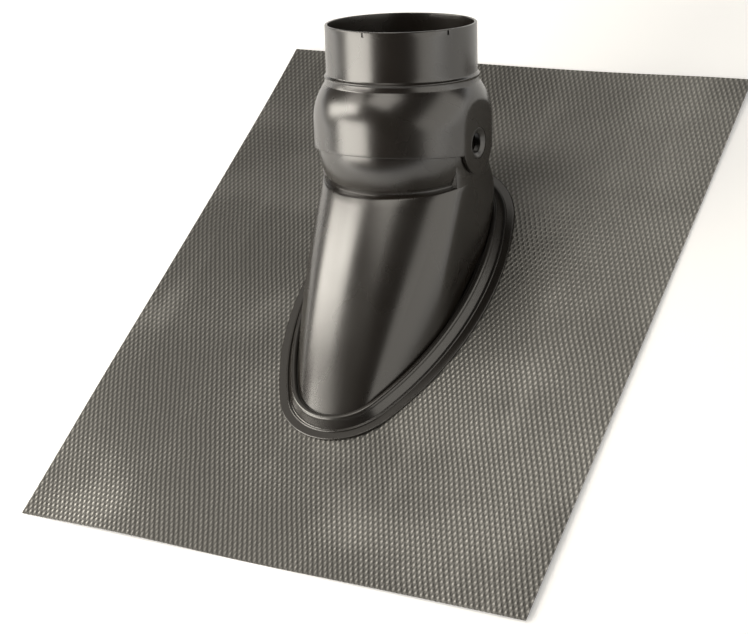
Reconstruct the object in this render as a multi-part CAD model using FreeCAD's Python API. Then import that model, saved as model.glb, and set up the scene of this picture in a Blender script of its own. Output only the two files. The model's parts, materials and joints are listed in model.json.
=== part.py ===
import FreeCAD, Part
import math
import os
from FreeCAD import Placement, Rotation, Vector

# Pipe flashing boot for a pitched roof, in millimetres.
# Frame: origin at the middle of the sheet on its underside, Z square to the
# roof, Y up the slope, X along the eaves.

# Flashing sheet
SHEET_WIDTH = 500.0
SHEET_LENGTH = 600.0
SHEET_THICKNESS = 0.8
CUTOUT_INSET = 12.0            # edge of the cut-out, in from the foot's outline

# Foot of the base: an egg-shaped outline of four tangent arcs
NOSE_RADIUS = 64.2
HEEL_RADIUS = 85.8
SIDE_RADIUS = 292.0
NOSE_TO_HEEL = 182.0           # between the centres of the nose and heel arcs
HEEL_CENTRE_Y = 76.5

# Section of the foot, measured in from the outline
FLANGE_THICKNESS = 2.4
FLANGE_EDGE = 0.9
BEAD_INSET = 7.2
BEAD_WIDTH = 2.2
BEAD_RISE = 1.1
ROLL_INSET = 9.8
ROLL_HEIGHT = 12.6
ROLL_LEAN = 5.6                # how far in the flank leans on its way up
ROLL_RADIUS = 2.2
FOOT_WIDTH = 26.0              # inner edge of the foot, in from the outline

# Dome above the foot
DOME_INSET = 20.6
DOME_BULGE = 3.5
DOME_DEPTH = 32.0              # pivot down to the dome's upper edge
SIDE_SOFTNESS = 4.6            # width over which the dome's round sides turn flat
BASE_WALL = 2.4
NECK_WALL = 2.0
SECTION_POINTS = 40
SECTIONS = 5

# Ball that the collar swivels on
PIVOT_Y = 99.2
PIVOT_Z = 103.7
BASE_TILT = 27.5               # lean of the ball's own axis from the sheet's normal
BALL_RADIUS = 77.5
NECK_DEPTH = 25.0              # pivot down to where the ball turns into a straight neck
BALL_TOP = 20.0                # pivot up to the ball's open top
DOME_STEP = 1.5                # dome's top edge, in from the ball's radius
FLAT_DEPTH = 4.5               # flats under the ears, in from the ball's radius
PAD_HALF_WIDTH = 32.0
PAD_TOP = 12.0                 # pivot up to the top of the pads, inside the ball
PIPE_PASSAGE_RADIUS = 63.0
PITCH_MIN = 20.0
PITCH_MAX = 40.0

# Swivel collar, on the pipe's axis
PIPE_TILT = 35.0
COLLAR_TOP = 103.5
COLLAR_WALL = 2.5
BORE_RADIUS = 65.5
STEP_TOP = 59.4
STEP_LIP = 2.2
STEP_LIP_HEIGHT = 3.4
STEP_NOTCH = 1.3
SHOULDER_TOP = 51.2
SHOULDER_STEP = 1.9            # how far the shoulder's top stands out from the sleeve
SHOULDER_FOOT = 18.6
BALL_CLEARANCE = 0.6
RIM_DROP = 9.0                 # pivot down to the rim
RIM_FRONT_RISE = 5.5           # how much higher the rim is cut at the front
EAR_RADIUS = 27.0
EAR_WALL = 3.2
FLAT_CLEARANCE = 0.3
NOTCH_COUNT = 5
NOTCH_SPACING = 66.0           # degrees round the sleeve, the middle one at the front
NOTCH_WIDTH = 2.2
NOTCH_HEIGHT = 4.0
NOTCH_DROP = 0.8               # top rim down to a notch
NOTCH_DEPTH = 1.2

# Hollow pivot pins
PIN_RADIUS = 11.0
PIN_BORE = 8.5
PIN_FIT = 0.1
PIN_HEAD_RADIUS = 14.0
PIN_HEAD_THICKNESS = 1.6
PIN_HEAD_CLEARANCE = 0.3
PIN_LIP = 1.5
PIN_SINK = 2.6                 # depth of the coned mouth in the head

DOME_TOP_RADIUS = BALL_RADIUS - DOME_STEP
FLAT_HALF_WIDTH = BALL_RADIUS - FLAT_DEPTH
SLEEVE_RADIUS = BORE_RADIUS + COLLAR_WALL
ROOM_RADIUS = BALL_RADIUS + BALL_CLEARANCE
SKIRT_RADIUS = ROOM_RADIUS + COLLAR_WALL
PIVOT = Vector(0, PIVOT_Y, PIVOT_Z)
ACROSS = Vector(1, 0, 0)


def up(tilt):
    """Unit vector that leans up the slope by tilt degrees."""
    return Vector(0, math.sin(math.radians(tilt)), math.cos(math.radians(tilt)))


def down_slope(tilt):
    """Unit vector square to up(tilt) and to X, on the lower side."""
    return Vector(0, -math.cos(math.radians(tilt)), math.sin(math.radians(tilt)))


def at_pivot(tilt):
    """Placement that puts a body drawn about Z on the leaning axis at the pivot."""
    return Placement(PIVOT, Rotation(ACROSS, -tilt))


def slab(half_width):
    """Everything between the two planes x = -half_width and x = half_width."""
    size = 2 * (SHEET_WIDTH + SHEET_LENGTH)
    return Part.makeBox(2 * half_width, size, size, Vector(-half_width, -size / 2, -size / 2))


def turned(points, placement):
    """Solid of revolution about Z from a closed outline of (radius, height) points."""
    corners = [Vector(radius, 0, height) for radius, height in points]
    face = Part.Face(Part.makePolygon(corners + corners[:1]))
    solid = face.revolve(Vector(), Vector(0, 0, 1), 360)
    solid.Placement = placement
    return solid


# Foot outline

def outline_arcs():
    """The four arcs as (centre, radius, first angle, last angle) in degrees."""
    nose = Vector(0, HEEL_CENTRE_Y - NOSE_TO_HEEL, 0)
    heel = Vector(0, HEEL_CENTRE_Y, 0)
    to_nose = SIDE_RADIUS - NOSE_RADIUS
    to_heel = SIDE_RADIUS - HEEL_RADIUS
    along = (to_nose ** 2 - to_heel ** 2 + NOSE_TO_HEEL ** 2) / (2 * NOSE_TO_HEEL)
    side_x = math.sqrt(to_nose ** 2 - along ** 2)
    side_y = nose.y + along
    low = math.degrees(math.atan2(nose.y - side_y, side_x))
    high = math.degrees(math.atan2(heel.y - side_y, side_x))
    return [
        (Vector(-side_x, side_y, 0), SIDE_RADIUS, low, high),
        (heel, HEEL_RADIUS, high, 180 - high),
        (Vector(side_x, side_y, 0), SIDE_RADIUS, 180 - high, 180 - low),
        (nose, NOSE_RADIUS, 180 - low, 360 + low),
    ]


def outline_point(angle, inset, height):
    """Point of the outline, set in by inset, whose outward direction is angle degrees."""
    first = outline_arcs()[0][2]
    angle = first + (angle - first) % 360
    for centre, radius, start, end in outline_arcs():
        if angle <= end:
            break
    reach = radius - inset
    across = centre.x + reach * math.cos(math.radians(angle))
    along = centre.y + reach * math.sin(math.radians(angle))
    return Vector(across, along, height)


def outline_wire(inset, height):
    """The outline, set in by inset, as a closed wire of four arcs."""
    edges = []
    for centre, radius, start, end in outline_arcs():
        circle = Part.Circle(centre + Vector(0, 0, height), Vector(0, 0, 1), radius - inset)
        edges.append(Part.Arc(circle, math.radians(start), math.radians(end)).toShape())
    return Part.Wire(edges)


# Flashing sheet

def flashing_sheet():
    """Flat sheet with the egg-shaped cut-out under the base."""
    corner = Vector(-SHEET_WIDTH / 2, -SHEET_LENGTH / 2, 0)
    sheet = Part.makeBox(SHEET_WIDTH, SHEET_LENGTH, SHEET_THICKNESS, corner)
    cutout = Part.Face(outline_wire(CUTOUT_INSET, 0)).extrude(Vector(0, 0, SHEET_THICKNESS))
    return sheet.cut(cutout)


# Base

def foot_section():
    """Section of the foot as edges between (inset, height) points, flange to inner edge."""
    bottom = SHEET_THICKNESS
    top = bottom + FLANGE_THICKNESS
    crown = bottom + ROLL_HEIGHT
    roll_out = ROLL_INSET + ROLL_LEAN
    roll_in = roll_out + 2 * ROLL_RADIUS
    under = crown - FLANGE_THICKNESS
    bead_out = BEAD_INSET
    bead_in = BEAD_INSET + BEAD_WIDTH
    slope = ROLL_RADIUS * math.sqrt(0.5)
    start = (0, bottom)
    edge = (0, top - FLANGE_EDGE)
    shoulder = (FLANGE_EDGE, top)
    bead_middle = ((bead_out + bead_in) / 2, top + BEAD_RISE)
    root = (ROLL_INSET, top)
    roll_side = (roll_out, crown - ROLL_RADIUS)
    roll_bend = (roll_out + ROLL_RADIUS - slope, crown - ROLL_RADIUS + slope)
    roll_top = (roll_out + ROLL_RADIUS, crown)
    roll_back = (roll_in - ROLL_RADIUS + slope, crown - ROLL_RADIUS + slope)
    groove = (roll_in, crown - ROLL_RADIUS)
    inner_top = (FOOT_WIDTH, crown - ROLL_RADIUS)
    inner_low = (FOOT_WIDTH, under - ROLL_RADIUS)
    hollow_top = (roll_out + ROLL_RADIUS, under - ROLL_RADIUS)
    hollow_low = (CUTOUT_INSET, bottom)
    return [
        (start, edge), (edge, shoulder), (shoulder, (bead_out, top)),
        ((bead_out, top), bead_middle, (bead_in, top)), ((bead_in, top), root),
        (root, roll_side), (roll_side, roll_bend, roll_top), (roll_top, roll_back, groove),
        (groove, inner_top), (inner_top, inner_low), (inner_low, hollow_top),
        (hollow_top, hollow_low), (hollow_low, start),
    ]


def foot_segment(centre, radius, start, end):
    """The foot's section turned about the centre of one arc of the outline."""
    edges = []
    for points in foot_section():
        places = [Vector(radius - inset, 0, height) for inset, height in points]
        if len(places) == 2:
            edges.append(Part.LineSegment(*places).toShape())
        else:
            edges.append(Part.Arc(*places).toShape())
    face = Part.Face(Part.Wire(edges))
    solid = face.revolve(Vector(), Vector(0, 0, 1), end - start)
    solid.Placement = Placement(centre, Rotation(Vector(0, 0, 1), start))
    return solid


def flattened(across, half_width):
    """Sideways distance that levels off smoothly at half_width."""
    knee = half_width - SIDE_SOFTNESS
    if abs(across) <= knee:
        return across
    level = knee + SIDE_SOFTNESS * math.tanh((abs(across) - knee) / SIDE_SOFTNESS)
    return math.copysign(level, across)


def dome_section(share, wall, overrun):
    """Closed smooth curve round the dome, share 0 at the foot and 1 at the top edge."""
    axis = up(BASE_TILT)
    radius = DOME_TOP_RADIUS - wall
    foot_height = SHEET_THICKNESS + ROLL_HEIGHT - ROLL_RADIUS - overrun
    points = []
    for step in range(SECTION_POINTS):
        angle = 360.0 * step / SECTION_POINTS - 90.0
        foot = outline_point(angle, DOME_INSET + wall, foot_height)
        sideways = radius * math.cos(math.radians(angle))
        forwards = -radius * math.sin(math.radians(angle))
        rim = PIVOT - axis * (DOME_DEPTH + wall)
        rim = rim + ACROSS * sideways + down_slope(BASE_TILT) * forwards
        outward = Vector(math.cos(math.radians(angle)), math.sin(math.radians(angle)), 0)
        run = rim - foot
        tangent = Vector(-outward.y, outward.x, 0)
        swell = tangent.cross(run).normalize()
        bulge = 4 * DOME_BULGE * share * (1 - share)
        point = foot + run * share + swell * bulge
        point.x = flattened(point.x, FLAT_HALF_WIDTH - wall)
        points.append(point)
    curve = Part.BSplineCurve()
    ticks = [float(step) for step in range(SECTION_POINTS + 1)]
    curve.interpolate(Points=points, Parameters=ticks, PeriodicFlag=True)
    return Part.Wire(curve.toShape())


def dome(wall, overrun):
    """Closed solid lofted from the foot to the round upper edge, set in by wall."""
    wires = []
    for index in range(SECTIONS):
        wires.append(dome_section(index / (SECTIONS - 1.0), wall, overrun))
    return Part.makeLoft(wires, True, False)


def ball(radius, neck_radius, top, bottom):
    """Ball with a straight neck under it, on the base's own axis."""
    sphere = Part.makeSphere(radius)
    keep = Part.makeCylinder(radius + 1, top + NECK_DEPTH, Vector(0, 0, -NECK_DEPTH))
    neck = Part.makeCylinder(neck_radius, bottom - NECK_DEPTH, Vector(0, 0, -bottom))
    solid = sphere.common(keep).fuse(neck)
    solid.Placement = at_pivot(BASE_TILT)
    return solid


def side_pads():
    """Upright strips that carry the dome's sides up to the flats under the ears."""
    height = DOME_DEPTH + PAD_TOP
    column = Part.Face(dome_section(1.0, 0, 0)).extrude(up(BASE_TILT) * height)
    low = Vector(-DOME_TOP_RADIUS, -PAD_HALF_WIDTH, -DOME_DEPTH)
    strip = Part.makeBox(2 * DOME_TOP_RADIUS, 2 * PAD_HALF_WIDTH, height, low)
    strip.Placement = at_pivot(BASE_TILT)
    return column.common(strip)


def pipe_passage():
    """Room for a pipe at the lowest and the highest pitch."""
    reach = 3 * BALL_RADIUS
    ways = []
    for pitch in (PITCH_MIN, PITCH_MAX):
        way = Part.makeCylinder(PIPE_PASSAGE_RADIUS, 2 * reach, Vector(0, 0, -reach))
        way.Placement = at_pivot(pitch)
        ways.append(way)
    return ways[0].fuse(ways[1])


def boot_base():
    """Dome, ball and foot in one moulding, open from the roof to the ball's top."""
    neck_outer = math.sqrt(BALL_RADIUS ** 2 - NECK_DEPTH ** 2)
    neck_inner = neck_outer - NECK_WALL
    depth = DOME_DEPTH + BASE_WALL
    bulb = ball(BALL_RADIUS, neck_outer, BALL_TOP, depth).common(slab(FLAT_HALF_WIDTH))
    outside = dome(0, 0).fuse([bulb, side_pads()])
    room = ball(BALL_RADIUS - BASE_WALL, neck_inner, BALL_TOP + 1, depth + 1)
    room = room.common(slab(FLAT_HALF_WIDTH - BASE_WALL))
    inside = dome(BASE_WALL, 2 * ROLL_RADIUS).fuse(room)
    shell = outside.cut(inside)
    foot = [foot_segment(*arc) for arc in outline_arcs()]
    shell = shell.fuse(foot)
    shell = shell.cut(pipe_passage())
    for side in (-1, 1):
        shell = shell.cut(pivot_cylinder(PIN_RADIUS, 0, side * SHEET_WIDTH))
    return shell


# Collar

def pivot_cylinder(radius, start, end):
    """Cylinder about the pivot line between two places along X."""
    low = min(start, end)
    return Part.makeCylinder(radius, abs(end - start), PIVOT + ACROSS * low, ACROSS)


def collar_outside():
    """Outer form of the collar: pipe sleeve, step, shoulder and skirt."""
    fall = SHOULDER_TOP - SHOULDER_FOOT
    spread = SKIRT_RADIUS - SLEEVE_RADIUS - SHOULDER_STEP
    radius = (fall ** 2 + spread ** 2) / (2 * spread)
    bend = math.asin(fall / radius) / 2
    start = Vector(SKIRT_RADIUS - spread, 0, SHOULDER_TOP)
    middle = Vector(SKIRT_RADIUS - radius, 0, SHOULDER_FOOT)
    middle = middle + Vector(math.cos(bend), 0, math.sin(bend)) * radius
    end = Vector(SKIRT_RADIUS, 0, SHOULDER_FOOT)
    corners = [
        end, Vector(SKIRT_RADIUS, 0, -RIM_DROP), Vector(0, 0, -RIM_DROP),
        Vector(0, 0, COLLAR_TOP), Vector(SLEEVE_RADIUS, 0, COLLAR_TOP),
        Vector(SLEEVE_RADIUS, 0, STEP_TOP),
        Vector(SLEEVE_RADIUS + STEP_LIP, 0, STEP_TOP - STEP_LIP_HEIGHT / 2),
        Vector(SLEEVE_RADIUS + STEP_NOTCH, 0, STEP_TOP - STEP_LIP_HEIGHT), start,
    ]
    edges = [Part.Arc(start, middle, end).toShape()]
    edges.extend(Part.makePolygon(corners).Edges)
    face = Part.Face(Part.Wire(edges))
    solid = face.revolve(Vector(), Vector(0, 0, 1), 360)
    solid.Placement = at_pivot(PIPE_TILT)
    return solid


def collar_inside():
    """Bore, widening under the step to the room for the ball."""
    below = -2 * BALL_RADIUS
    points = [
        (0, below), (ROOM_RADIUS, below), (ROOM_RADIUS, SHOULDER_FOOT + COLLAR_WALL),
        (ROOM_RADIUS - COLLAR_WALL, (SHOULDER_FOOT + SHOULDER_TOP) / 2),
        (SLEEVE_RADIUS, SHOULDER_TOP - 2 * COLLAR_WALL),
        (BORE_RADIUS, SHOULDER_TOP), (BORE_RADIUS, 2 * COLLAR_TOP), (0, 2 * COLLAR_TOP),
    ]
    return turned(points, at_pivot(PIPE_TILT))


def rim_relief():
    """Wedge that lifts the rim towards the front."""
    reach = 2 * BALL_RADIUS
    rise = RIM_FRONT_RISE * reach / SKIRT_RADIUS
    points = [(0, -RIM_DROP), (reach, rise - RIM_DROP), (reach, -reach), (0, -reach)]
    corners = []
    for forwards, height in points:
        corners.append(Vector(-reach, -forwards, height))
    face = Part.Face(Part.makePolygon(corners + corners[:1]))
    wedge = face.extrude(Vector(2 * reach, 0, 0))
    wedge.Placement = at_pivot(PIPE_TILT)
    return wedge


def rim_notch(index):
    """Small blind notch in the outside of the sleeve just under its top."""
    low = COLLAR_TOP - NOTCH_DROP - NOTCH_HEIGHT
    corner = Vector(-NOTCH_WIDTH / 2, -2 * SLEEVE_RADIUS, low)
    notch = Part.makeBox(NOTCH_WIDTH, SLEEVE_RADIUS + NOTCH_DEPTH, NOTCH_HEIGHT, corner)
    angle = NOTCH_SPACING * (index - (NOTCH_COUNT - 1) / 2)
    turn = Rotation(Vector(0, 0, 1), angle)
    notch.Placement = at_pivot(PIPE_TILT).multiply(Placement(Vector(), turn))
    return notch


def swivel_collar():
    """Sleeve for the pipe on a skirt that swivels over the ball."""
    flat_inside = FLAT_HALF_WIDTH + FLAT_CLEARANCE
    flat_outside = flat_inside + EAR_WALL
    skirt = collar_outside().cut(rim_relief()).common(slab(flat_outside))
    ears = []
    for side in (-1, 1):
        ears.append(pivot_cylinder(EAR_RADIUS, side * flat_inside, side * flat_outside))
    collar = skirt.fuse(ears).cut(collar_inside().common(slab(flat_inside)))
    seat_depth = PIN_HEAD_THICKNESS + PIN_HEAD_CLEARANCE
    for side in (-1, 1):
        seat = pivot_cylinder(PIN_HEAD_RADIUS + PIN_HEAD_CLEARANCE,
                              side * (flat_outside - seat_depth), side * SHEET_WIDTH)
        hole = pivot_cylinder(PIN_RADIUS + PIN_FIT, 0, side * SHEET_WIDTH)
        collar = collar.cut([seat, hole])
    for index in range(NOTCH_COUNT):
        collar = collar.cut(rim_notch(index))
    return collar


# Pivot pins

def pivot_pin(side):
    """Hollow headed pin: barrel through the ear, lip behind the base's flat."""
    face = FLAT_HALF_WIDTH + FLAT_CLEARANCE + EAR_WALL
    head = face - PIN_HEAD_THICKNESS
    back = FLAT_HALF_WIDTH - BASE_WALL
    tail = back - PIN_LIP
    mouth = PIN_HEAD_RADIUS - PIN_LIP
    points = [
        (PIN_BORE, tail), (PIN_RADIUS + PIN_LIP, tail), (PIN_RADIUS + PIN_LIP, back),
        (PIN_RADIUS, back), (PIN_RADIUS, head), (PIN_HEAD_RADIUS, head),
        (PIN_HEAD_RADIUS, face), (mouth, face), (PIN_BORE, face - PIN_SINK),
    ]
    return turned(points, Placement(PIVOT, Rotation(Vector(0, 0, 1), ACROSS * side)))


def save(name, shape):
    """Writes one piece and reports its size."""
    if shape.ShapeType == "Compound" and len(shape.Solids) == 1:
        shape = shape.Solids[0]
    if not shape.isValid() or len(shape.Solids) != 1:
        raise ValueError(name + " is not one valid solid")
    shape.exportStep("parts/" + name + ".step")
    print(name, round(shape.Volume / 1000.0, 1), "cm3")


def main():
    os.makedirs("parts", exist_ok=True)
    save("flashing_sheet", flashing_sheet())
    save("boot_base", boot_base())
    save("swivel_collar", swivel_collar())
    save("pivot_pin_left", pivot_pin(-1))
    save("pivot_pin_right", pivot_pin(1))


main()
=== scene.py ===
import json
import math

import bpy
import numpy as np
from bpy.props import FloatProperty, FloatVectorProperty, IntProperty, PointerProperty
from mathutils import Matrix, Vector


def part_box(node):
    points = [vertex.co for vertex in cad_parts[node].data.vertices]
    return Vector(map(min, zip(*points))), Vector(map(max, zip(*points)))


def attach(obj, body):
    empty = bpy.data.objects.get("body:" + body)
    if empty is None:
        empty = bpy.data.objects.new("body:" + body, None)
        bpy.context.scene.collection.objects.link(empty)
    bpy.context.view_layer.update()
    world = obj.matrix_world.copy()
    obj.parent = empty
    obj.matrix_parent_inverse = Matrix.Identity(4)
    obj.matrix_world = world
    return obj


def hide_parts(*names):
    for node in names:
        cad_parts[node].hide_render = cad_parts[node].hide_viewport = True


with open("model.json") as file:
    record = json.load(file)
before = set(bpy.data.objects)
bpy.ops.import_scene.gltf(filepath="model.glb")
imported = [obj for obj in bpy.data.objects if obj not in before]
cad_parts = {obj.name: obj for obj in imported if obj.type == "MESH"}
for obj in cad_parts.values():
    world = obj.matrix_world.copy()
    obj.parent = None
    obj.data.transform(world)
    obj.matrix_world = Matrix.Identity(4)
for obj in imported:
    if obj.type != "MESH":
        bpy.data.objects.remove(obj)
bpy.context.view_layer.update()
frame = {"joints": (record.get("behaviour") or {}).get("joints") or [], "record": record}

bl_info = {
    "name": "Pipe Flashing Boot",
    "version": (1, 0, 0),
    "blender": (4, 5, 0),
    "location": "View3D > Sidebar > Flashing Boot",
    "description": "Roof boot with an embossed flashing sheet and a swivel collar",
    "category": "Add Mesh",
}

SHEET_LOW, SHEET_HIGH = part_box("flashing_sheet")
SHEET_THICKNESS = SHEET_HIGH[2] - SHEET_LOW[2]
PIVOT = np.array(frame["joints"][0]["pos_m"])
PIPE_AXIS = np.array(frame["record"]["mounts"][0]["axis"])
MM = 0.001


# Sizes and finishes

def length(name, description, default):
    """A size in metres, given here in millimetres."""
    return FloatProperty(name=name, description=description, default=default * MM,
                         unit="LENGTH", subtype="DISTANCE", precision=4)


def angle(name, description, default):
    """An angle given here in degrees."""
    return FloatProperty(name=name, description=description, default=math.radians(default),
                         unit="ROTATION", subtype="ANGLE")


def factor(name, description, default, high=1.0):
    """A plain number from nought to high."""
    return FloatProperty(name=name, description=description, default=default,
                         min=0.0, max=high, precision=3)


def colour(name, description, default):
    """A linear colour."""
    return FloatVectorProperty(name=name, description=description, default=default,
                               subtype="COLOR", size=3, min=0.0, max=1.0)


class SheetSizes(bpy.types.PropertyGroup):
    cutout_inset: length("Cut-out inset", "Edge of the cut-out, in from the foot's outline", 12)
    pitch: length("Emboss pitch", "Distance between bumps in a row", 5)
    row_spacing: length("Row spacing", "Distance between rows of bumps", 5)
    relief: length("Relief", "Height of the bumps", 0.8)
    waviness: length("Waviness", "How far the loose sheet waves up and down", 3.2)
    corner_lift: length("Corner lift", "How far the upper left corner is bent up", 7)


class BaseSizes(bpy.types.PropertyGroup):
    nose_radius: length("Nose radius", "Arc at the lower end of the foot", 64.2)
    heel_radius: length("Heel radius", "Arc at the upper end of the foot", 85.8)
    side_radius: length("Side radius", "Arcs along the sides of the foot", 292)
    nose_to_heel: length("Nose to heel", "Between the centres of the end arcs", 182)
    heel_y: length("Heel centre", "Place of the heel arc's centre up the slope", 76.5)
    flange: length("Flange thickness", "Flat flange of the foot", 2.4)
    flange_edge: length("Flange edge", "Rounding of the flange's upper edge", 0.9)
    bead_inset: length("Bead inset", "Start of the bead on the flange", 7.2)
    bead_width: length("Bead width", "Width of the bead", 2.2)
    bead_rise: length("Bead rise", "Height of the bead", 1.1)
    roll_inset: length("Roll inset", "Start of the rolled edge", 9.8)
    roll_height: length("Roll height", "Height of the rolled edge", 12.6)
    roll_lean: length("Roll lean", "How far the roll's flank leans in", 4.1)
    roll_radius: length("Roll radius", "Rounding of the roll's crown", 3.2)
    foot_width: length("Foot width", "Inner edge of the foot, in from the outline", 26)
    dome_inset: length("Dome inset", "Foot of the dome, in from the outline", 20.6)
    dome_bulge: length("Dome bulge", "Swell of the dome between foot and top", 3.5)
    dome_depth: length("Dome depth", "Pivot down to the dome's upper edge", 32)
    dome_radius: length("Dome top radius", "Radius of the dome's upper edge", 76)
    dome_edge: length("Dome edge", "Rounding of the dome's upper edge", 2.2)
    side_softness: length("Side softness", "Width over which round sides turn flat", 4.6)
    wall: length("Wall", "Wall of dome and ball", 2.4)
    ball_radius: length("Ball radius", "Ball that the collar swivels on", 77.5)
    neck_depth: length("Neck depth", "Pivot down to the foot of the ball's arc", 29.6)
    ball_top: length("Ball top", "Pivot up to the ball's open top", 20)
    flat: length("Half width over flats", "Flats under the collar's ears", 72.8)
    pad: length("Pad half width", "Upright strips under the ears", 32)
    pad_top: length("Pad top", "Pivot up to the top of the strips", 12)
    pad_radius: length("Pad radius", "Ball that the upper part of the strips follows", 77.6)
    pad_depth: length("Pad depth", "Thickness of the strips", 5.0)
    tilt: angle("Tilt", "Lean of the ball's axis from the sheet's normal", 27.5)


class CollarSizes(bpy.types.PropertyGroup):
    bore: length("Bore radius", "Sleeve around the pipe", 65.5)
    wall: length("Wall", "Wall of sleeve and skirt", 2.5)
    top: length("Top", "Pivot up to the sleeve's rim", 103.5)
    step: length("Step", "Pivot up to the step under the sleeve", 59.4)
    lip: length("Step lip", "How far the step's ring stands out", 2.2)
    lip_height: length("Lip height", "Height of the step's ring", 3.4)
    notch: length("Step notch", "How far the groove under the ring stands out", 1.1)
    shoulder_top: length("Shoulder top", "Pivot up to the shoulder's crease", 51.2)
    shoulder_step: length("Shoulder step", "Shoulder's crease, out from the sleeve", 1.9)
    shoulder_foot: length("Shoulder foot", "Pivot up to the straight skirt", 18.6)
    room: length("Room radius", "Inside of the skirt over the ball", 78.1)
    rim: length("Rim drop", "Pivot down to the rim", 9)
    rim_rise: length("Rim rise", "How much higher the rim is at the front", 5.5)
    ear: length("Ear radius", "Round ears at the pivots", 27)
    flat: length("Half width over ears", "Outside of the ears", 76.5)
    ear_wall: length("Ear wall", "Thickness of the ears", 3.2)
    slot_width: length("Notch width", "Small notches under the sleeve's rim", 2.2)
    slot_height: length("Notch height", "Small notches under the sleeve's rim", 4)
    slot_depth: length("Notch depth", "Small notches under the sleeve's rim", 1.2)
    slot_drop: length("Notch drop", "Rim down to the notches", 0.8)
    slots: IntProperty(name="Notches", description="Number of small notches", default=5, min=1)
    slot_spacing: angle("Notch spacing", "Turn from one notch to the next", 66)


class PinSizes(bpy.types.PropertyGroup):
    radius: length("Barrel radius", "Barrel through the ear", 11)
    bore: length("Bore radius", "Hole through the pin", 8.5)
    head: length("Head radius", "Flush head in the ear", 14)
    head_thickness: length("Head thickness", "Thickness of the head", 1.6)
    clearance: length("Clearance", "Between the head and its seat", 0.3)
    lip: length("Lip", "Lip behind the base's flat", 1.5)
    sink: length("Mouth", "Depth of the coned mouth", 2.6)


class Finishes(bpy.types.PropertyGroup):
    plastic: colour("Plastic", "Warm black moulded plastic", (0.0105, 0.008, 0.0058))
    plastic_worn: colour("Scuffed plastic", "Plastic where it is rubbed", (0.022, 0.02, 0.0175))
    plastic_roughness: factor("Plastic roughness", "Roughness of clean plastic", 0.27)
    pin: colour("Pin plastic", "Plastic of the pins", (0.013, 0.0115, 0.01))
    metal: colour("Sheet metal", "Dull side of the embossed metal", (0.14, 0.137, 0.13))
    # This bright colour serves the rubbed tops of the bumps and also a painted lighter side of
    # the sheet
    metal_rubbed_and_painted_light: colour("Rubbed metal", "Tops of the bumps", (0.6, 0.59, 0.56))
    metal_roughness: factor("Metal roughness", "Roughness between the bumps", 0.42)
    floor: colour("Floor", "Plain pale floor", (0.86, 0.86, 0.86))


class StageSizes(bpy.types.PropertyGroup):
    lens: FloatProperty(name="Lens", description="Focal length in millimetres", default=92.03)
    camera: FloatVectorProperty(name="Camera", description="Place of the camera", size=3,
                                default=(0.8352, -0.9328, 1.2267), subtype="TRANSLATION")
    target: FloatVectorProperty(name="Target", description="Point in the middle of the view",
                                size=3, default=(0.0395, -0.0811, 0.07), subtype="TRANSLATION")
    roll: angle("Roll", "Turn of the camera about its line of sight", 25.58)
    key: factor("Tall key", "Brightness of the tall soft box on the left", 9.5, 50.0)
    key_low: factor("Wide key", "Brightness of the low soft box in front of it", 7.5, 50.0)
    key_high: factor("High key", "Brightness of the soft box above it", 2.6, 50.0)
    side: factor("Right wall", "Brightness of the large panel on the right", 1.4, 50.0)
    back: factor("Left wall", "Brightness of the panel behind on the left", 0.6, 50.0)
    overhead: factor("Overhead", "Brightness of the panel above", 2.8, 50.0)
    fill: factor("Fill", "Even light from all round", 0.05, 5.0)
    tint: colour("Tint", "Colour of the lamps", (1.0, 0.95, 0.86))


GROUPS = {
    "flashing_sheet": SheetSizes, "flashing_base": BaseSizes, "flashing_collar": CollarSizes,
    "flashing_pin": PinSizes, "flashing_finish": Finishes, "flashing_stage": StageSizes,
}


# Curves

def outline_arcs(base):
    """Centres, radii and angle limits of the foot's four arcs: right side, heel, left side, nose.

    The side arcs touch the end arcs, so a side centre lies at side radius minus end radius
    from both end centres."""
    to_nose = base.side_radius - base.nose_radius
    to_heel = base.side_radius - base.heel_radius
    span = base.nose_to_heel
    along = (to_nose ** 2 - to_heel ** 2 + span ** 2) / (2 * span)
    across = math.sqrt(to_nose ** 2 - along ** 2)
    nose_y = base.heel_y - span
    low = math.atan2(-along, across)
    high = math.atan2(span - along, across)
    centres = np.array([(-across, nose_y + along), (0, base.heel_y),
                        (across, nose_y + along), (0, nose_y)])
    radii = np.array([base.side_radius, base.heel_radius, base.side_radius, base.nose_radius])
    limits = np.array([low, high, math.pi - high, math.pi - low, 2 * math.pi + low])
    return centres, radii, limits


def outline_angles(base, count):
    """Angles of the outward direction round the foot, count of them on each arc."""
    limits = outline_arcs(base)[2]
    steps = np.arange(count) / count
    return np.concatenate([a + (b - a) * steps for a, b in zip(limits[:-1], limits[1:])])


def outline(base, angles, inset, height):
    """Points of the foot: arc centre plus (radius minus inset) times the outward direction."""
    centres, radii, limits = outline_arcs(base)
    arc = np.clip(np.searchsorted(limits, angles, side="right") - 1, 0, 3)
    reach = radii[arc] - inset
    x = centres[arc, 0] + reach * np.cos(angles)
    y = centres[arc, 1] + reach * np.sin(angles)
    return np.stack(np.broadcast_arrays(x, y, height), axis=-1)


def rounded(points, radii, steps=5):
    """Closed line of (a, b) points with its corners turned into parabolas.

    A corner C with cut points S and E becomes (1-t)^2 S + 2t(1-t) C + t^2 E, and a corner
    of radius nought stays one point."""
    points = np.asarray(points, dtype=float)
    radii = np.asarray(radii, dtype=float)[:, None]
    back = np.roll(points, 1, axis=0) - points
    ahead = np.roll(points, -1, axis=0) - points
    start = points + back / np.linalg.norm(back, axis=1)[:, None] * radii
    end = points + ahead / np.linalg.norm(ahead, axis=1)[:, None] * radii
    start, middle, end = start[:, None], points[:, None], end[:, None]
    t = np.linspace(0, 1, steps)[None, :, None]
    line = (1 - t) ** 2 * start + 2 * t * (1 - t) * middle + t ** 2 * end
    line = line.reshape(-1, 2)
    apart = np.linalg.norm(line - np.roll(line, 1, axis=0), axis=1) > 1e-7
    return line[apart]


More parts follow.
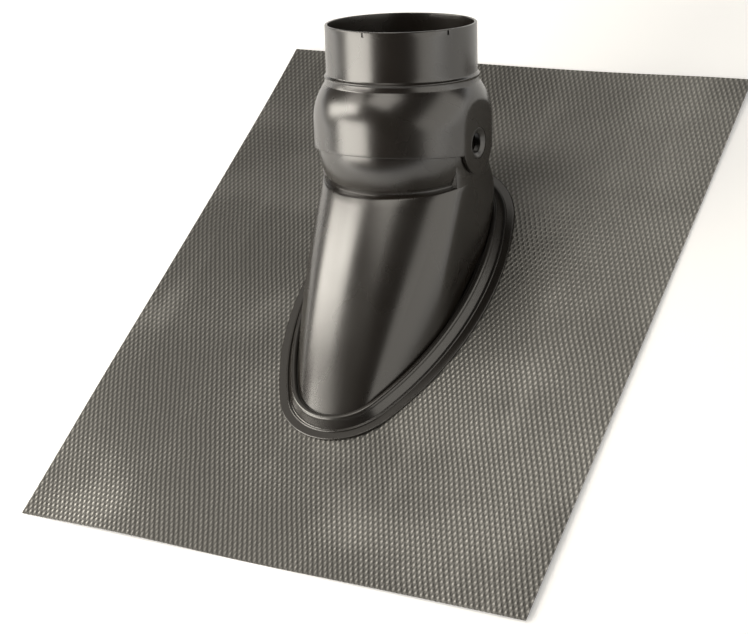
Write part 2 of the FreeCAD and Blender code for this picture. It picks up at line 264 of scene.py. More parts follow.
def divided(line, longest):
    """Closed line with its long runs cut into equal shorter ones."""
    ahead = np.roll(line, -1, axis=0)
    cuts = np.maximum(1, np.ceil(np.linalg.norm(ahead - line, axis=1) / longest)).astype(int)
    first = np.repeat(np.arange(len(line)), cuts)
    step = np.arange(cuts.sum()) - np.repeat(np.cumsum(cuts) - cuts, cuts)
    share = (step / cuts[first])[:, None]
    return line[first] * (1 - share) + ahead[first] * share


def flattened(across, half_width, softness):
    """Sideways distance that levels off at half_width along a hyperbolic tangent."""
    knee = half_width - softness
    over = np.maximum(np.abs(across) - knee, 0)
    level = np.minimum(np.abs(across), knee) + softness * np.tanh(over / softness)
    return np.sign(across) * level


def leaning(tilt):
    """Unit vectors of a leaning frame: across, down the slope, and up its own axis."""
    axis = np.array([0, math.sin(tilt), math.cos(tilt)])
    down = np.array([0, -math.cos(tilt), math.sin(tilt)])
    return np.array([1.0, 0, 0]), down, axis


def placed(tilt, across, forwards, height):
    """Points at the pivot in a leaning frame from their three coordinates."""
    side, down, axis = leaning(tilt)
    across, forwards, height = np.broadcast_arrays(across, forwards, height)
    return (PIVOT + across[..., None] * side + forwards[..., None] * down
            + height[..., None] * axis)


# Meshes

def tube_faces(rows, columns):
    """Quads of a grid that closes on itself both ways."""
    index = np.arange(rows * columns).reshape(rows, columns)
    right = np.roll(index, -1, axis=1)
    up = np.roll(index, -1, axis=0)
    corner = np.roll(right, -1, axis=0)
    return np.stack([index, right, corner, up], axis=-1).reshape(-1, 4)


def ring_mesh(name, points):
    """Mesh from rows x columns x 3 points, closed both ways."""
    faces = tube_faces(*points.shape[:2])
    mesh = bpy.data.meshes.new(name)
    mesh.from_pydata(points.reshape(-1, 3).tolist(), [], faces.tolist())
    mesh.update()
    return mesh


def turned(section, columns, frame_of_turn):
    """Points of a section of (radius, height) points turned about an axis.

    frame_of_turn is (centre, side, forwards, axis); a point is the centre plus radius times
    (side cos + forwards sin) plus height times the axis."""
    centre, side, forwards, axis = [np.asarray(v, dtype=float) for v in frame_of_turn]
    turn = np.linspace(0, 2 * math.pi, columns, endpoint=False)[None, :, None]
    radius = section[:, 0][:, None, None]
    height = section[:, 1][:, None, None]
    return centre + radius * (side * np.cos(turn) + forwards * np.sin(turn)) + height * axis


def capped_mesh(name, loops):
    """Closed solid from a few equal loops, its two ends filled."""
    rows, columns = loops.shape[:2]
    faces = tube_faces(rows, columns).reshape(rows, columns, 4)[:-1].reshape(-1, 4)
    index = np.arange(rows * columns).reshape(rows, columns)
    mesh = bpy.data.meshes.new(name)
    ends = [index[0][::-1].tolist(), index[-1].tolist()]
    mesh.from_pydata(loops.reshape(-1, 3).tolist(), [], faces.tolist() + ends)
    mesh.update()
    return mesh


def joined(name, meshes):
    """One mesh that holds all the shells."""
    vertices, faces, start = [], [], 0
    for mesh in meshes:
        vertices.extend(vertex.co[:] for vertex in mesh.vertices)
        faces.extend([start + i for i in face.vertices] for face in mesh.polygons)
        start += len(mesh.vertices)
        bpy.data.meshes.remove(mesh)
    whole = bpy.data.meshes.new(name)
    whole.from_pydata(vertices, [], faces)
    whole.update()
    return whole


def cut(mesh, cutter):
    """The mesh less the cutter, by an exact boolean."""
    target = bpy.data.objects.new("target", mesh)
    tool = bpy.data.objects.new("tool", cutter)
    for piece in (target, tool):
        bpy.context.scene.collection.objects.link(piece)
    modifier = target.modifiers.new("cut", "BOOLEAN")
    modifier.operation = "DIFFERENCE"
    modifier.solver = "EXACT"
    modifier.object = tool
    graph = bpy.context.evaluated_depsgraph_get()
    result = bpy.data.meshes.new_from_object(target.evaluated_get(graph))
    for piece in (target, tool):
        bpy.data.objects.remove(piece)
    if len(result.polygons) < len(mesh.polygons) / 2:
        raise RuntimeError("the cut removed most of " + mesh.name)
    return result


def finished(name, mesh, body, node, material, crease=32):
    """Shown piece from a mesh: smooth between its sharp edges, on its body."""
    mesh.name = name
    mesh.polygons.foreach_set("use_smooth", np.ones(len(mesh.polygons), dtype=bool))
    mesh.set_sharp_from_angle(angle=math.radians(crease))
    mesh.materials.clear()
    mesh.materials.append(material)
    piece = bpy.data.objects.new(name, mesh)
    bpy.context.scene.collection.objects.link(piece)
    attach(piece, body)
    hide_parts(node)
    return piece


# Shader maths

class Signal:
    """A socket whose arithmetic adds Math nodes to its tree."""

    def __init__(self, tree, socket):
        self.tree = tree
        self.socket = socket

    def math(self, operation, *values):
        return self.tree.node("Math", {"operation": operation}, dict(enumerate(values)))

    def __add__(self, other):
        return self.math("ADD", self, other)

    __radd__ = __add__

    def __sub__(self, other):
        return self.math("SUBTRACT", self, other)

    def __rsub__(self, other):
        return self.math("SUBTRACT", other, self)

    def __mul__(self, other):
        return self.math("MULTIPLY", self, other)

    __rmul__ = __mul__

    def cos(self):
        return self.math("COSINE", self)

    def smooth(self, low, high):
        """Nought below low, one above high, and an easy slope between."""
        return self.tree.node("MapRange", {"interpolation_type": "SMOOTHSTEP"},
                              {"Value": self, "From Min": low, "From Max": high})


class Tree:
    """The nodes of one material or of the world."""

    def __init__(self, owner):
        owner.use_nodes = True
        self.owner = owner
        self.nodes = owner.node_tree.nodes
        self.links = owner.node_tree.links
        self.nodes.clear()

    def node(self, kind, settings=None, sockets=None, output=0):
        """Adds a node: its settings first, then its sockets by name or number."""
        node = self.nodes.new("ShaderNode" + kind)
        for key, value in (settings or {}).items():
            setattr(node, key, value)
        for key, value in (sockets or {}).items():
            if isinstance(value, Signal):
                self.links.new(value.socket, node.inputs[key])
            else:
                node.inputs[key].default_value = value
        return Signal(self, node.outputs[output]) if len(node.outputs) else node

    def mix(self, mask, first, second):
        """Colour that goes from first to second as the mask goes from nought to one."""
        return self.node("Mix", {"data_type": "RGBA"}, {0: mask, 6: first, 7: second}, 2)

    def place(self):
        return self.node("TexCoord", output=3)

    def stretched(self, scale, turn=(0, 0, 0)):
        """Object coordinates, scaled and turned."""
        return self.node("Mapping", {}, {"Vector": self.place(), "Scale": scale,
                                         "Rotation": turn})

    def noise(self, scale, detail=3.0, rough=0.5, where=None):
        return self.node("TexNoise", {}, {"Vector": where or self.place(), "Scale": scale,
                                          "Detail": detail, "Roughness": rough})

    def bump(self, height, distance, strength=1.0, normal=None):
        sockets = {"Height": height, "Distance": distance, "Strength": strength}
        if normal:
            sockets["Normal"] = normal
        return self.node("Bump", {}, sockets)

    def close(self, shader):
        kind = "OutputWorld" if isinstance(self.owner, bpy.types.World) else "OutputMaterial"
        self.node(kind, {}, {"Surface": shader})


def opaque(values):
    """A colour with its fourth number."""
    return (*values, 1.0)


def plastic_material(name, base, worn, roughness):
    """Moulded plastic: even gloss with faint clouding, flow lines, grain and light scuffs."""
    tree = Tree(bpy.data.materials.new(name))
    clouds = tree.noise(14.0, 3.0, 0.55)
    flow = tree.noise(60.0, 2.0, 0.5, tree.stretched((1.0, 0.12, 0.12)))
    grain = tree.noise(900.0, 2.0, 0.6)
    scuff = tree.noise(130.0, 5.0, 0.7, tree.stretched((1.0, 0.35, 1.6), (0.5, 0.2, 0.6)))
    rubbed = scuff.smooth(0.62, 0.78) * clouds.smooth(0.4, 0.7)
    tone = rubbed * 0.3 + clouds.smooth(0.35, 0.75) * 0.16
    gloss = clouds.smooth(0.3, 0.7) * 0.05 + flow * 0.04 + rubbed * 0.06 + (roughness - 0.045)
    normal = tree.bump(grain, 0.000016, 0.6)
    normal = tree.bump(flow, 0.00008, 0.12, normal)
    shader = tree.node("BsdfPrincipled", {}, {
        "Base Color": tree.mix(tone, opaque(base), opaque(worn)), "Roughness": gloss,
        "Normal": normal, "IOR": 1.5, "Specular IOR Level": 1.0})
    tree.close(shader)
    return tree.owner


def metal_material(name, finish, sheet):
    """Dull embossed metal: rows of round bumps, each row shifted by half a pitch.

    The bumps are half of one plus cos(2 pi x / pitch) cos(pi y / row spacing)."""
    tree = Tree(bpy.data.materials.new(name))
    split = tree.node("SeparateXYZ", {}, {"Vector": tree.place()})
    across = split
    along = Signal(tree, split.socket.node.outputs[1])
    drift = tree.noise(9.0, 2.0, 0.5)
    x = (across + (drift - 0.5) * 0.004) * (2 * math.pi / sheet.pitch)
    y = (along + (drift - 0.5) * 0.004) * (math.pi / sheet.row_spacing)
    bumps = (x.cos() * y.cos()) * 0.5 + 0.5
    crest = bumps.smooth(0.35, 0.95)
    clouds = tree.noise(5.0, 2.5, 0.5, tree.stretched((0.8, 1.3, 1.0), (0, 0, 0.5)))
    smears = tree.noise(16.0, 4.0, 0.6, tree.stretched((1.0, 0.3, 1.0), (0, 0, 0.7)))
    worn = clouds.smooth(0.36, 0.66)
    # Painted light: the sheet's colour is made lighter towards its +x and +y side, standing in
    # for how the lamps fall across it
    painted_light_side = across.smooth(-0.12, 0.18) * along.smooth(-0.34, 0.06)
    grain = tree.noise(700.0, 3.0, 0.6)
    # The mix mask joins real wear (rubbed bump tops, smears, worn clouds) with that painted
    # lighter side
    wear_and_painted_light = crest * 0.42 + smears.smooth(0.45, 0.75) * 0.16 + worn * 0.36 + painted_light_side * 0.5 - 0.26
    gloss = (1 - crest) * 0.1 - worn * 0.1 + grain * 0.06 + finish.metal_roughness
    normal = tree.bump(grain, 0.00003, 0.5)
    normal = tree.bump(bumps, sheet.relief, 1.0, normal)
    shader = tree.node("BsdfPrincipled", {}, {
        "Base Color": tree.mix(wear_and_painted_light, opaque(finish.metal), opaque(finish.metal_rubbed_and_painted_light)),
        "Roughness": gloss, "Metallic": 0.92, "Normal": normal})
    tree.close(shader)
    return tree.owner


# Surfaces

def sheet_surface(sheet, base):
    """Flashing sheet as rays from the cut-out to the edge and back underneath.

    A point at share s of a ray with direction a is (1-s) times the cut-out plus s times the
    sheet's border. The height adds broad sine waves that fade out under the foot, and a
    smooth lift at one corner."""
    corner_x, corner_y = SHEET_HIGH[0], SHEET_HIGH[1]
    edge = np.linspace(-1, 1, 96, endpoint=False)
    ones = np.ones_like(edge)
    border_x = np.concatenate([ones, -edge, -ones, edge]) * corner_x
    border_y = np.concatenate([edge, ones, -edge, -ones]) * corner_y
    bearing = np.unwrap(np.arctan2(border_y, border_x))
    angles = np.linspace(0, 2 * math.pi, 1440, endpoint=False)
    limits = outline_arcs(base)[2]
    angles = limits[0] + angles
    rim = outline(base, angles, sheet.cutout_inset, 0.0)
    rim_bearing = np.unwrap(np.arctan2(rim[:, 1], rim[:, 0]))
    reach = np.hypot(rim[:, 0], rim[:, 1])
    reach = np.interp(bearing, rim_bearing, reach, period=2 * math.pi)
    inner_x, inner_y = reach * np.cos(bearing), reach * np.sin(bearing)
    share = np.concatenate([[0.0, 0.06], np.linspace(0.12, 0.99, 60), [1.0]])
    share = np.concatenate([share, share[::-1]])[:, None]
    top = np.repeat([1.0, 0.0], len(share) // 2)[:, None]
    x = inner_x * (1 - share) + border_x * share
    y = inner_y * (1 - share) + border_y * share
    radial = np.hypot(x, y) / np.maximum(np.hypot(inner_x, inner_y), 1e-6)
    flat_until, run_in = 1.2, 0.8
    fade = np.clip((radial - flat_until) / run_in, 0, 1)
    fade = fade * fade * (3 - 2 * fade)
    wave = (np.sin(17 * x + 9 * y + 0.6) + 0.8 * np.sin(11 * y - 21 * x + 1.9)
            + 0.5 * np.sin(31 * x + 23 * y)) / 2.3
    lift = np.clip((y - x) / (corner_x + corner_y) * 2.2 - 1.2, 0, 1) ** 2
    height = fade * sheet.waviness * (0.5 + 0.5 * wave) + sheet.corner_lift * lift
    z = height + top * SHEET_THICKNESS
    return np.stack(np.broadcast_arrays(x, y, z), axis=-1)


def dome_surface(base, angles, share, wall):
    """Wall of the dome: straight runs from the foot to the round upper edge.

    A point is foot + share x run + 4 bulge share (1 - share) along the outward normal,
    with its sideways distance flattened."""
    radius = base.dome_radius - wall
    foot_height = base_top(base) + base.roll_height - base.flange - base.roll_radius
    foot = outline(base, angles, base.dome_inset + wall, foot_height)
    rim = placed(base.tilt, radius * np.cos(angles), -radius * np.sin(angles),
                 -(base.dome_depth + wall))
    run = rim - foot
    tangent = np.stack([-np.sin(angles), np.cos(angles), np.zeros_like(angles)], axis=-1)
    swell = np.cross(tangent, run)
    swell /= np.linalg.norm(swell, axis=1)[:, None]
    share = np.broadcast_to(share, (len(share), len(angles)))[..., None]
    points = foot + run * share + swell * (4 * base.dome_bulge * share * (1 - share))
    points[..., 0] = flattened(points[..., 0], base.flat - wall, base.side_softness)
    return points, np.linalg.norm(run, axis=1)


def base_top(base):
    """Height of the flange's upper face."""
    return SHEET_THICKNESS + base.flange


def foot_profile(base):
    """Outside of the foot as (inset, height) rows, from the sheet up to the dome's foot."""
    top = base_top(base)
    crown = SHEET_THICKNESS + base.roll_height - base.roll_radius
    quarter = np.linspace(0, math.pi / 2, 5)
    edge = np.stack([base.flange_edge * (1 - np.cos(quarter)),
                     top - base.flange_edge * (1 - np.sin(quarter))], axis=1)
    half = np.linspace(0, math.pi, 9)
    middle = base.bead_inset + base.bead_width / 2
    bead = np.stack([middle - base.bead_width / 2 * np.cos(half),
                     top + base.bead_rise * np.sin(half)], axis=1)
    centre = base.roll_inset + base.roll_lean + base.roll_radius
    roll = np.stack([centre - base.roll_radius * np.cos(half),
                     crown + base.roll_radius * np.sin(half)], axis=1)
    flat = np.linspace(base.flange_edge, base.bead_inset, 5)[1:-1]
    flat = np.stack([flat, np.full(len(flat), top)], axis=1)
    climb = np.linspace(0.06, 0.94, 5)[:, None]
    root_gap = 0.15 * MM
    root = np.array([[base.roll_inset + root_gap, top]])
    flank = root * (1 - climb) + roll[:1] * climb
    return np.concatenate([[(0, SHEET_THICKNESS)], edge, flat, bead, flank, roll])


def foot_underside(base):
    """Inside of the foot as (inset, height) rows, from the dome's inner foot to the sheet."""
    crown = SHEET_THICKNESS + base.roll_height - base.roll_radius
    under = crown - base.flange
    centre = base.roll_inset + base.roll_lean + base.roll_radius
    seat_inner, seat_outer = 12 * MM, 6 * MM
    return np.array([(base.dome_inset + base.wall, crown), (base.foot_width, crown),
                     (base.foot_width, under), (centre, under),
                     (seat_inner, SHEET_THICKNESS), (seat_outer, SHEET_THICKNESS)])


def neck_profile(base, radius, foot_depth, rows):
    """Straight neck, then the ball's arc, as (radius, height) rows going up."""
    neck = math.sqrt(base.ball_radius ** 2 - base.neck_depth ** 2) - (base.ball_radius - radius)
    heights = np.linspace(-math.sqrt(radius ** 2 - neck ** 2), base.ball_top, rows)
    arc = np.stack([np.sqrt(radius ** 2 - heights ** 2), heights], axis=1)
    straight = np.linspace(-foot_depth, arc[0, 1], 5)[:-1]
    return np.concatenate([np.stack([np.full(4, neck), straight], axis=1), arc])


def ring_rows(base, angles, profile, half_width):
    """Rows of a body turned about the ball's axis, its sides cut flat."""
    radius, height = profile[:, 0][:, None], profile[:, 1][:, None]
    across = np.clip(radius * np.cos(angles), -half_width, half_width)
    return placed(base.tilt, across, -radius * np.sin(angles), height)


def base_surface(base):
    """Base as one closed skin: foot, dome, rounded edge, neck, ball, and back inside."""
    angles = outline_angles(base, 96)
    foot = foot_profile(base)
    outside = outline(base, angles, foot[:, :1], foot[:, 1:])
    length_of_run = dome_surface(base, angles, np.array([[0.0]]), 0)[1]
    last = 1 - base.dome_edge / length_of_run
    share = np.linspace(0, 1, 30)[:, None] * last
    wall = dome_surface(base, angles, share, 0)[0]
    neck = neck_profile(base, base.ball_radius, base.dome_depth, 22)
    uncut = 1.0
    shoulder = np.array([[base.dome_radius, -base.dome_depth]])
    corner = ring_rows(base, angles, shoulder, uncut)[0]
    corner[:, 0] = flattened(corner[:, 0], base.flat, base.side_softness)
    inward = ring_rows(base, angles, neck[:1], uncut)[0] - corner
    inward /= np.maximum(np.linalg.norm(inward, axis=1), 1e-9)[:, None]
    shelf = corner + inward * base.dome_edge
    t = np.linspace(0, 1, 6)[1:, None, None]
    edge = (1 - t) ** 2 * wall[-1] + 2 * t * (1 - t) * corner + t ** 2 * shelf
    strips_stand_proud = 0.4 * MM
    ball = ring_rows(base, angles, neck, base.flat - strips_stand_proud)
    inner = neck_profile(base, base.ball_radius - base.wall, base.dome_depth + base.wall, 10)
    inner = ring_rows(base, angles, inner[::-1], base.flat - base.wall)
    room = dome_surface(base, angles, np.linspace(1, 0, 12)[:, None], base.wall)[0]
    under = foot_underside(base)
    under = outline(base, angles, under[:, :1], under[:, 1:])
    return np.concatenate([outside, wall, edge, ball, inner, room, under])


def pad_mesh(base, side):
    """Upright strip beside the ball: a rounded cross-section carried up the ball's axis."""
    forwards = np.linspace(-base.pad, base.pad, 21)
    corners = np.zeros(2 * len(forwards))
    corners[[0, len(forwards) - 1]] = 0.6 * MM
    sunk = 1.5 * MM
    heights = np.linspace(-base.dome_depth - sunk, base.pad_top, 12)
    reach = np.maximum(base.dome_radius, np.sqrt(base.pad_radius ** 2 - heights ** 2))
    lines = []
    for radius in reach:
        face = flattened(np.sqrt(radius ** 2 - forwards ** 2), base.flat, base.side_softness)
        outer = np.stack([face, forwards], axis=1)
        inner = np.stack([face[::-1] - base.pad_depth, forwards[::-1]], axis=1)
        lines.append(rounded(np.concatenate([outer, inner]), corners, 4))
    lines = np.stack(lines)
    loops = placed(base.tilt, lines[..., 0] * side, lines[..., 1], heights[:, None])
    if side > 0:
        loops = loops[:, ::-1]
    return capped_mesh("pad", loops[:, ::-1])


def across_frame(side):
    """Frame of a body turned about the pivot line, on one side."""
    return PIVOT, (0, side, 0), (0, 0, 1), (side, 0, 0)


def pivot_cutters(seat, seat_depth, hole):
    """Stepped plugs that open the pin holes on both sides.

    They run from near to far along the pivot line, and core is the radius of their caps."""
    core, near, far = 0.5 * MM, 55 * MM, 95 * MM
    section = np.array([(core, near), (hole, near), (hole, seat_depth),
                        (seat, seat_depth), (seat, far), (core, far)])
    return [capped_mesh("plug", turned(section, 64, across_frame(side))) for side in (-1, 1)]


def collar_section(collar):
    """Closed section of the collar as (radius, height) points, and which are outside.

    The shoulder is an arc that starts upright at its foot and is spread further in at its top,
    so its radius is (fall squared plus spread squared) over twice the spread."""
    sleeve = collar.bore + collar.wall
    skirt = collar.room + collar.wall
    fall = collar.shoulder_top - collar.shoulder_foot
    spread = skirt - sleeve - collar.shoulder_step
    bend = (fall ** 2 + spread ** 2) / (2 * spread)
    turn = np.linspace(0, math.asin(fall / bend), 16)
    shoulder = np.stack([skirt - bend + bend * np.cos(turn),
                         collar.shoulder_foot + bend * np.sin(turn)], axis=1)
    groove = collar.step - collar.lip_height
    ring = collar.step - collar.lip_height / 2
    rim = [(skirt, -collar.rim)]
    step = [(sleeve + collar.notch, groove), (sleeve + collar.lip, ring), (sleeve, collar.step)]
    outside = np.concatenate([rim, shoulder, step, [(sleeve, collar.top)]])
    inside = np.array([
        (collar.bore, collar.top), (collar.bore, collar.shoulder_top),
        (sleeve, collar.shoulder_top - 2 * collar.wall),
        (collar.room - collar.wall, (collar.shoulder_foot + collar.shoulder_top) / 2),
        (collar.room, collar.shoulder_foot + collar.wall), (collar.room, -collar.rim)])
    # Rounded: every edge from the shoulder's top to the mouth, and both edges at the foot
    crease = len(rim) + len(shoulder) - 1
    radii = np.zeros(len(outside) + len(inside))
    radii[crease:len(outside)] = np.array([0.6, 0.7, 0.8, 0.9, 0.9]) * MM
    radii[[0, len(outside)]] = 0.7 * MM
    radii[-1] = 0.5 * MM
    line = np.concatenate([outside, inside])
    rounded_line = divided(rounded(line, radii), 5 * MM)
    outer = rounded_line[:, 0] > np.interp(
        rounded_line[:, 1], [-collar.rim, collar.shoulder_foot, collar.shoulder_top, collar.top],
        [skirt - collar.wall / 2, skirt - collar.wall / 2, sleeve - collar.wall / 4,
         sleeve - collar.wall / 2])
    return rounded_line, outer


def collar_surface(collar):
    """Collar as its section turned about the pipe's axis.

    The rim's height is minus rim drop, rises towards the front, and follows the round ears
    at the sides; heights near the rim are stretched to it. The sides are flattened."""
    section, outer = collar_section(collar)
    skirt = collar.room + collar.wall
    corner = math.acos(math.sqrt(collar.ear ** 2 - collar.rim ** 2) / skirt)
    exact = np.array([corner, math.pi - corner, math.pi + corner, 2 * math.pi - corner])
    turn = np.linspace(0, 2 * math.pi, 360, endpoint=False)
    near = np.abs(turn[:, None] - exact).argmin(axis=0)
    turn[near] = exact
    radius, height = section[:, 0][:, None], section[:, 1][:, None]
    forwards = skirt * np.cos(turn)
    rim = -collar.rim + collar.rim_rise * np.maximum(forwards, 0) / skirt
    ear = -np.sqrt(np.maximum(collar.ear ** 2 - forwards ** 2, 0))
    rim = np.minimum(rim, ear)
    knee = 10 * MM
    stretch = (knee - rim) / (knee + collar.rim)
    height = np.where(height < knee, knee + (height - knee) * stretch, height)
    across = radius * np.sin(turn)
    softness = 1.6 * MM
    outside = flattened(across, collar.flat, softness)
    inside = np.clip(across, -(collar.flat - collar.ear_wall), collar.flat - collar.ear_wall)
    across = np.where(outer[:, None], outside, inside)
    return placed(math.asin(PIPE_AXIS[1]), across, radius * np.cos(turn), height)


def notch_cutters(collar):
    """Small blocks that cut the notches under the sleeve's rim."""
    tilt = math.asin(PIPE_AXIS[1])
    sleeve = collar.bore + collar.wall
    blocks = []
    for index in range(collar.slots):
        turn = collar.slot_spacing * (index - (collar.slots - 1) / 2)
        half = collar.slot_width / 2
        high = collar.top - collar.slot_drop
        low = high - collar.slot_height
        deep, out = sleeve - collar.slot_depth, sleeve + 2 * MM
        corners = np.array([(-half, deep), (half, deep), (half, out), (-half, out)])
        across = corners[:, 0] * math.cos(turn) + corners[:, 1] * math.sin(turn)
        forwards = corners[:, 1] * math.cos(turn) - corners[:, 0] * math.sin(turn)
        loops = placed(tilt, across, forwards, np.array([[low], [high]]))
        blocks.append(capped_mesh("notch", loops[:, ::-1]))
    return blocks


def pin_section(pin, base, collar):
    """Closed section of a hollow headed pin as (radius, distance from the middle)."""
    face = collar.flat
    head = face - pin.head_thickness
    back = base.flat - base.wall
    tail = back - pin.lip
    corners = [(pin.bore, tail), (pin.radius + pin.lip, tail), (pin.radius + pin.lip, back),
               (pin.radius, back), (pin.radius, head), (pin.head, head), (pin.head, face),
               (pin.head - pin.lip, face), (pin.bore, face - pin.sink)]
    radii = np.array([0.3, 0.5, 0.2, 0.1, 0.1, 0.2, 0.5, 0.7, 0.8]) * MM
    return divided(rounded(corners, radii), 3 * MM)


# Operators

class FLASHING_OT_sheet(bpy.types.Operator):
    """Embossed metal sheet with its cut-out under the base"""
    bl_idname = "flashing.sheet"
    bl_label = "Flashing Sheet"

    def execute(self, context):
        scene = context.scene
        points = sheet_surface(scene.flashing_sheet, scene.flashing_base)
        mesh = ring_mesh("embossed_sheet", points)
        material = metal_material("embossed_metal", scene.flashing_finish, scene.flashing_sheet)
        finished("embossed_sheet", mesh, "boot", "flashing_sheet", material)
        return {"FINISHED"}


class FLASHING_OT_base(bpy.types.Operator):
    """Moulded base: foot, dome and the ball for the collar"""
    bl_idname = "flashing.base"
    bl_label = "Boot Base"

    def execute(self, context):
        scene = context.scene
        base, pin = scene.flashing_base, scene.flashing_pin
        parts = [ring_mesh("shell", base_surface(base)), pad_mesh(base, -1), pad_mesh(base, 1)]
        depth = 60 * MM    # with equal radii there is no step at this depth
        shells = []
        for part in parts:
            holes = joined("holes", pivot_cutters(pin.radius, depth, pin.radius))
            shells.append(cut(part, holes))
        finish = scene.flashing_finish
        material = plastic_material("base_plastic", finish.plastic, finish.plastic_worn,
                                    finish.plastic_roughness)
        finished("moulded_base", joined("moulded_base", shells), "boot", "boot_base",
                 material)
        return {"FINISHED"}


class FLASHING_OT_collar(bpy.types.Operator):
    """Collar that swivels over the base's ball"""
    bl_idname = "flashing.collar"
    bl_label = "Swivel Collar"

    def execute(self, context):
        scene = context.scene
        collar, pin = scene.flashing_collar, scene.flashing_pin
        shell = ring_mesh("shell", collar_surface(collar))
        seat = collar.flat - pin.head_thickness - pin.clearance
        running_fit = 0.1 * MM
        cutters = pivot_cutters(pin.head + pin.clearance, seat, pin.radius + running_fit)
        shell = cut(shell, joined("cutters", cutters + notch_cutters(collar)))
        finish = scene.flashing_finish
        material = plastic_material("collar_plastic", finish.plastic, finish.plastic_worn,
                                    finish.plastic_roughness)
        finished("moulded_collar", shell, "collar", "swivel_collar", material)
        return {"FINISHED"}


class FLASHING_OT_pins(bpy.types.Operator):
    """Hollow pivot pins in the collar's ears"""
    bl_idname = "flashing.pins"
    bl_label = "Pivot Pins"

    def execute(self, context):
        scene = context.scene
        finish = scene.flashing_finish
        material = plastic_material("pin_plastic", finish.pin, finish.plastic_worn,
                                    finish.plastic_roughness + 0.06)
        section = pin_section(scene.flashing_pin, scene.flashing_base, scene.flashing_collar)
        for side, hand in ((-1, "left"), (1, "right")):
            mesh = ring_mesh("pin", turned(section, 72, across_frame(side)))
            finished("hollow_pin_" + hand, mesh, "boot", "pivot_pin_" + hand,
                     material)
        return {"FINISHED"}


def soft_box(name, bearing, elevation, distance, width, height, glow, lean):
    """Rectangular lamp that faces the object.

    Its place is centre plus the distance along (sin b cos e, -cos b cos e, sin e) for
    bearing b and elevation e, and its power is pi times its area times its glow."""
    lamp = bpy.data.lights.new(name, "AREA")
    lamp.shape = "RECTANGLE"
    lamp.size, lamp.size_y = width, height
    lamp.energy = math.pi * width * height * glow
    lamp.color = bpy.context.scene.flashing_stage.tint
    b, e = math.radians(bearing), math.radians(elevation)
    way = Vector((math.sin(b) * math.cos(e), -math.cos(b) * math.cos(e), math.sin(e)))
    holder = bpy.data.objects.new(name, lamp)
    bpy.context.scene.collection.objects.link(holder)
    aim = (-way).to_track_quat("-Z", "Y").to_matrix()
    turn = (aim @ Matrix.Rotation(math.radians(lean), 3, "Z")).to_4x4()
    centre = Vector((0, 0.05, 0.1))
    holder.matrix_world = Matrix.Translation(way * distance + centre) @ turn
    holder.visible_camera = False


def seen_directly(tree):
    """One for rays that show the floor: from the camera, in gloss and through glass."""
    camera = tree.node("LightPath")
    outputs = camera.socket.node.outputs
    glossy = Signal(tree, outputs["Is Glossy Ray"])
    through = Signal(tree, outputs["Is Transmission Ray"])
    return camera + glossy + through


def floor_material(finish):
    """Pale floor that keeps the shadow near the object and turns white far away."""
    tree = Tree(bpy.data.materials.new("pale_floor"))
    distance = tree.node("VectorMath", {"operation": "LENGTH"}, {0: tree.place()}, 1)
    far = distance.smooth(0.6, 2.2)
    glow = seen_directly(tree) * (far * 0.8 + 0.25)
    matt = tree.node("BsdfDiffuse", {}, {"Color": opaque(finish.floor)})
    light = tree.node("Emission", {}, {"Color": (1, 1, 1, 1), "Strength": glow})
    tree.close(tree.node("AddShader", {}, {0: matt, 1: light}))
    return tree.owner


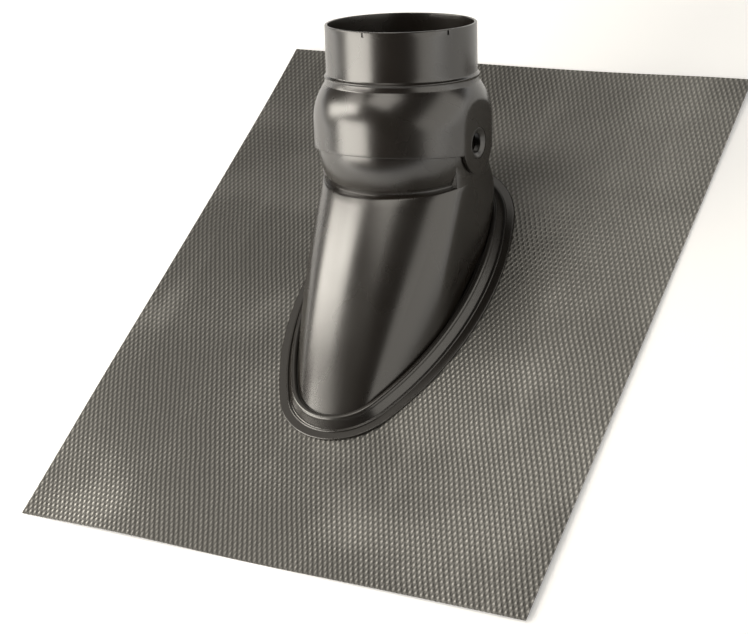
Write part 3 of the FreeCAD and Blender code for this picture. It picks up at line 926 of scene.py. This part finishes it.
class FLASHING_OT_stage(bpy.types.Operator):
    """Pale floor, soft studio light and the camera"""
    bl_idname = "flashing.stage"
    bl_label = "Stage"

    def execute(self, context):
        scene = context.scene
        stage = scene.flashing_stage
        half, low = 40.0, -0.4 * MM
        floor = bpy.data.meshes.new("floor")
        floor.from_pydata([(-half, -half, low), (half, -half, low),
                           (half, half, low), (-half, half, low)], [], [(0, 1, 2, 3)])
        floor.materials.append(floor_material(scene.flashing_finish))
        ground = bpy.data.objects.new("floor", floor)
        scene.collection.objects.link(ground)
        # name, bearing, elevation, distance, width, height, glow, lean
        soft_box("tall_key", -75, 33, 2.2, 0.58, 1.85, stage.key, -33)
        soft_box("wide_key", -42, 20, 2.2, 1.75, 1.05, stage.key_low, 24)
        soft_box("high_key", -82, 52, 2.2, 0.85, 0.85, stage.key_high, 0)
        soft_box("right_wall", 95, 18, 2.6, 4.0, 1.8, stage.side, 0)
        soft_box("left_wall", -142, 42, 2.6, 2.4, 1.6, stage.back, 0)
        soft_box("overhead", -20, 85, 2.4, 1.3, 1.3, stage.overhead, 0)
        world = bpy.data.worlds.new("studio")
        scene.world = world
        tree = Tree(world)
        tree.close(tree.node("Background", {}, {"Color": (1, 1, 1, 1), "Strength": stage.fill}))
        camera = bpy.data.cameras.new("camera")
        camera.lens = stage.lens
        camera.clip_start, camera.clip_end = 0.1, 200
        holder = bpy.data.objects.new("camera", camera)
        scene.collection.objects.link(holder)
        sight = Vector(stage.target) - Vector(stage.camera)
        aim = sight.to_track_quat("-Z", "Y").to_matrix()
        turn = (aim @ Matrix.Rotation(-stage.roll, 3, "Z")).to_4x4()
        holder.matrix_world = Matrix.Translation(stage.camera) @ turn
        scene.camera = holder
        scene.view_settings.view_transform = "Standard"
        return {"FINISHED"}


STEPS = (FLASHING_OT_sheet, FLASHING_OT_base, FLASHING_OT_collar, FLASHING_OT_pins,
         FLASHING_OT_stage)


class FLASHING_PT_panel(bpy.types.Panel):
    """Lists the pieces of the flashing boot"""
    bl_idname = "FLASHING_PT_panel"
    bl_label = "Flashing Boot"
    bl_space_type = "VIEW_3D"
    bl_region_type = "UI"
    bl_category = "Flashing Boot"

    def draw(self, context):
        for step in STEPS:
            self.layout.operator(step.bl_idname)
        for name, group in GROUPS.items():
            box = self.layout.box()
            for field in group.__annotations__:
                box.prop(getattr(context.scene, name), field)


CLASSES = (*GROUPS.values(), *STEPS, FLASHING_PT_panel)


def register():
    for item in CLASSES:
        bpy.utils.register_class(item)
    for name, group in GROUPS.items():
        setattr(bpy.types.Scene, name, PointerProperty(type=group))


def unregister():
    for name in GROUPS:
        delattr(bpy.types.Scene, name)
    for item in reversed(CLASSES):
        bpy.utils.unregister_class(item)


def main():
    register()
    bpy.ops.flashing.sheet()
    bpy.ops.flashing.base()
    bpy.ops.flashing.collar()
    bpy.ops.flashing.pins()
    bpy.ops.flashing.stage()


if __name__ == "__main__":
    main()
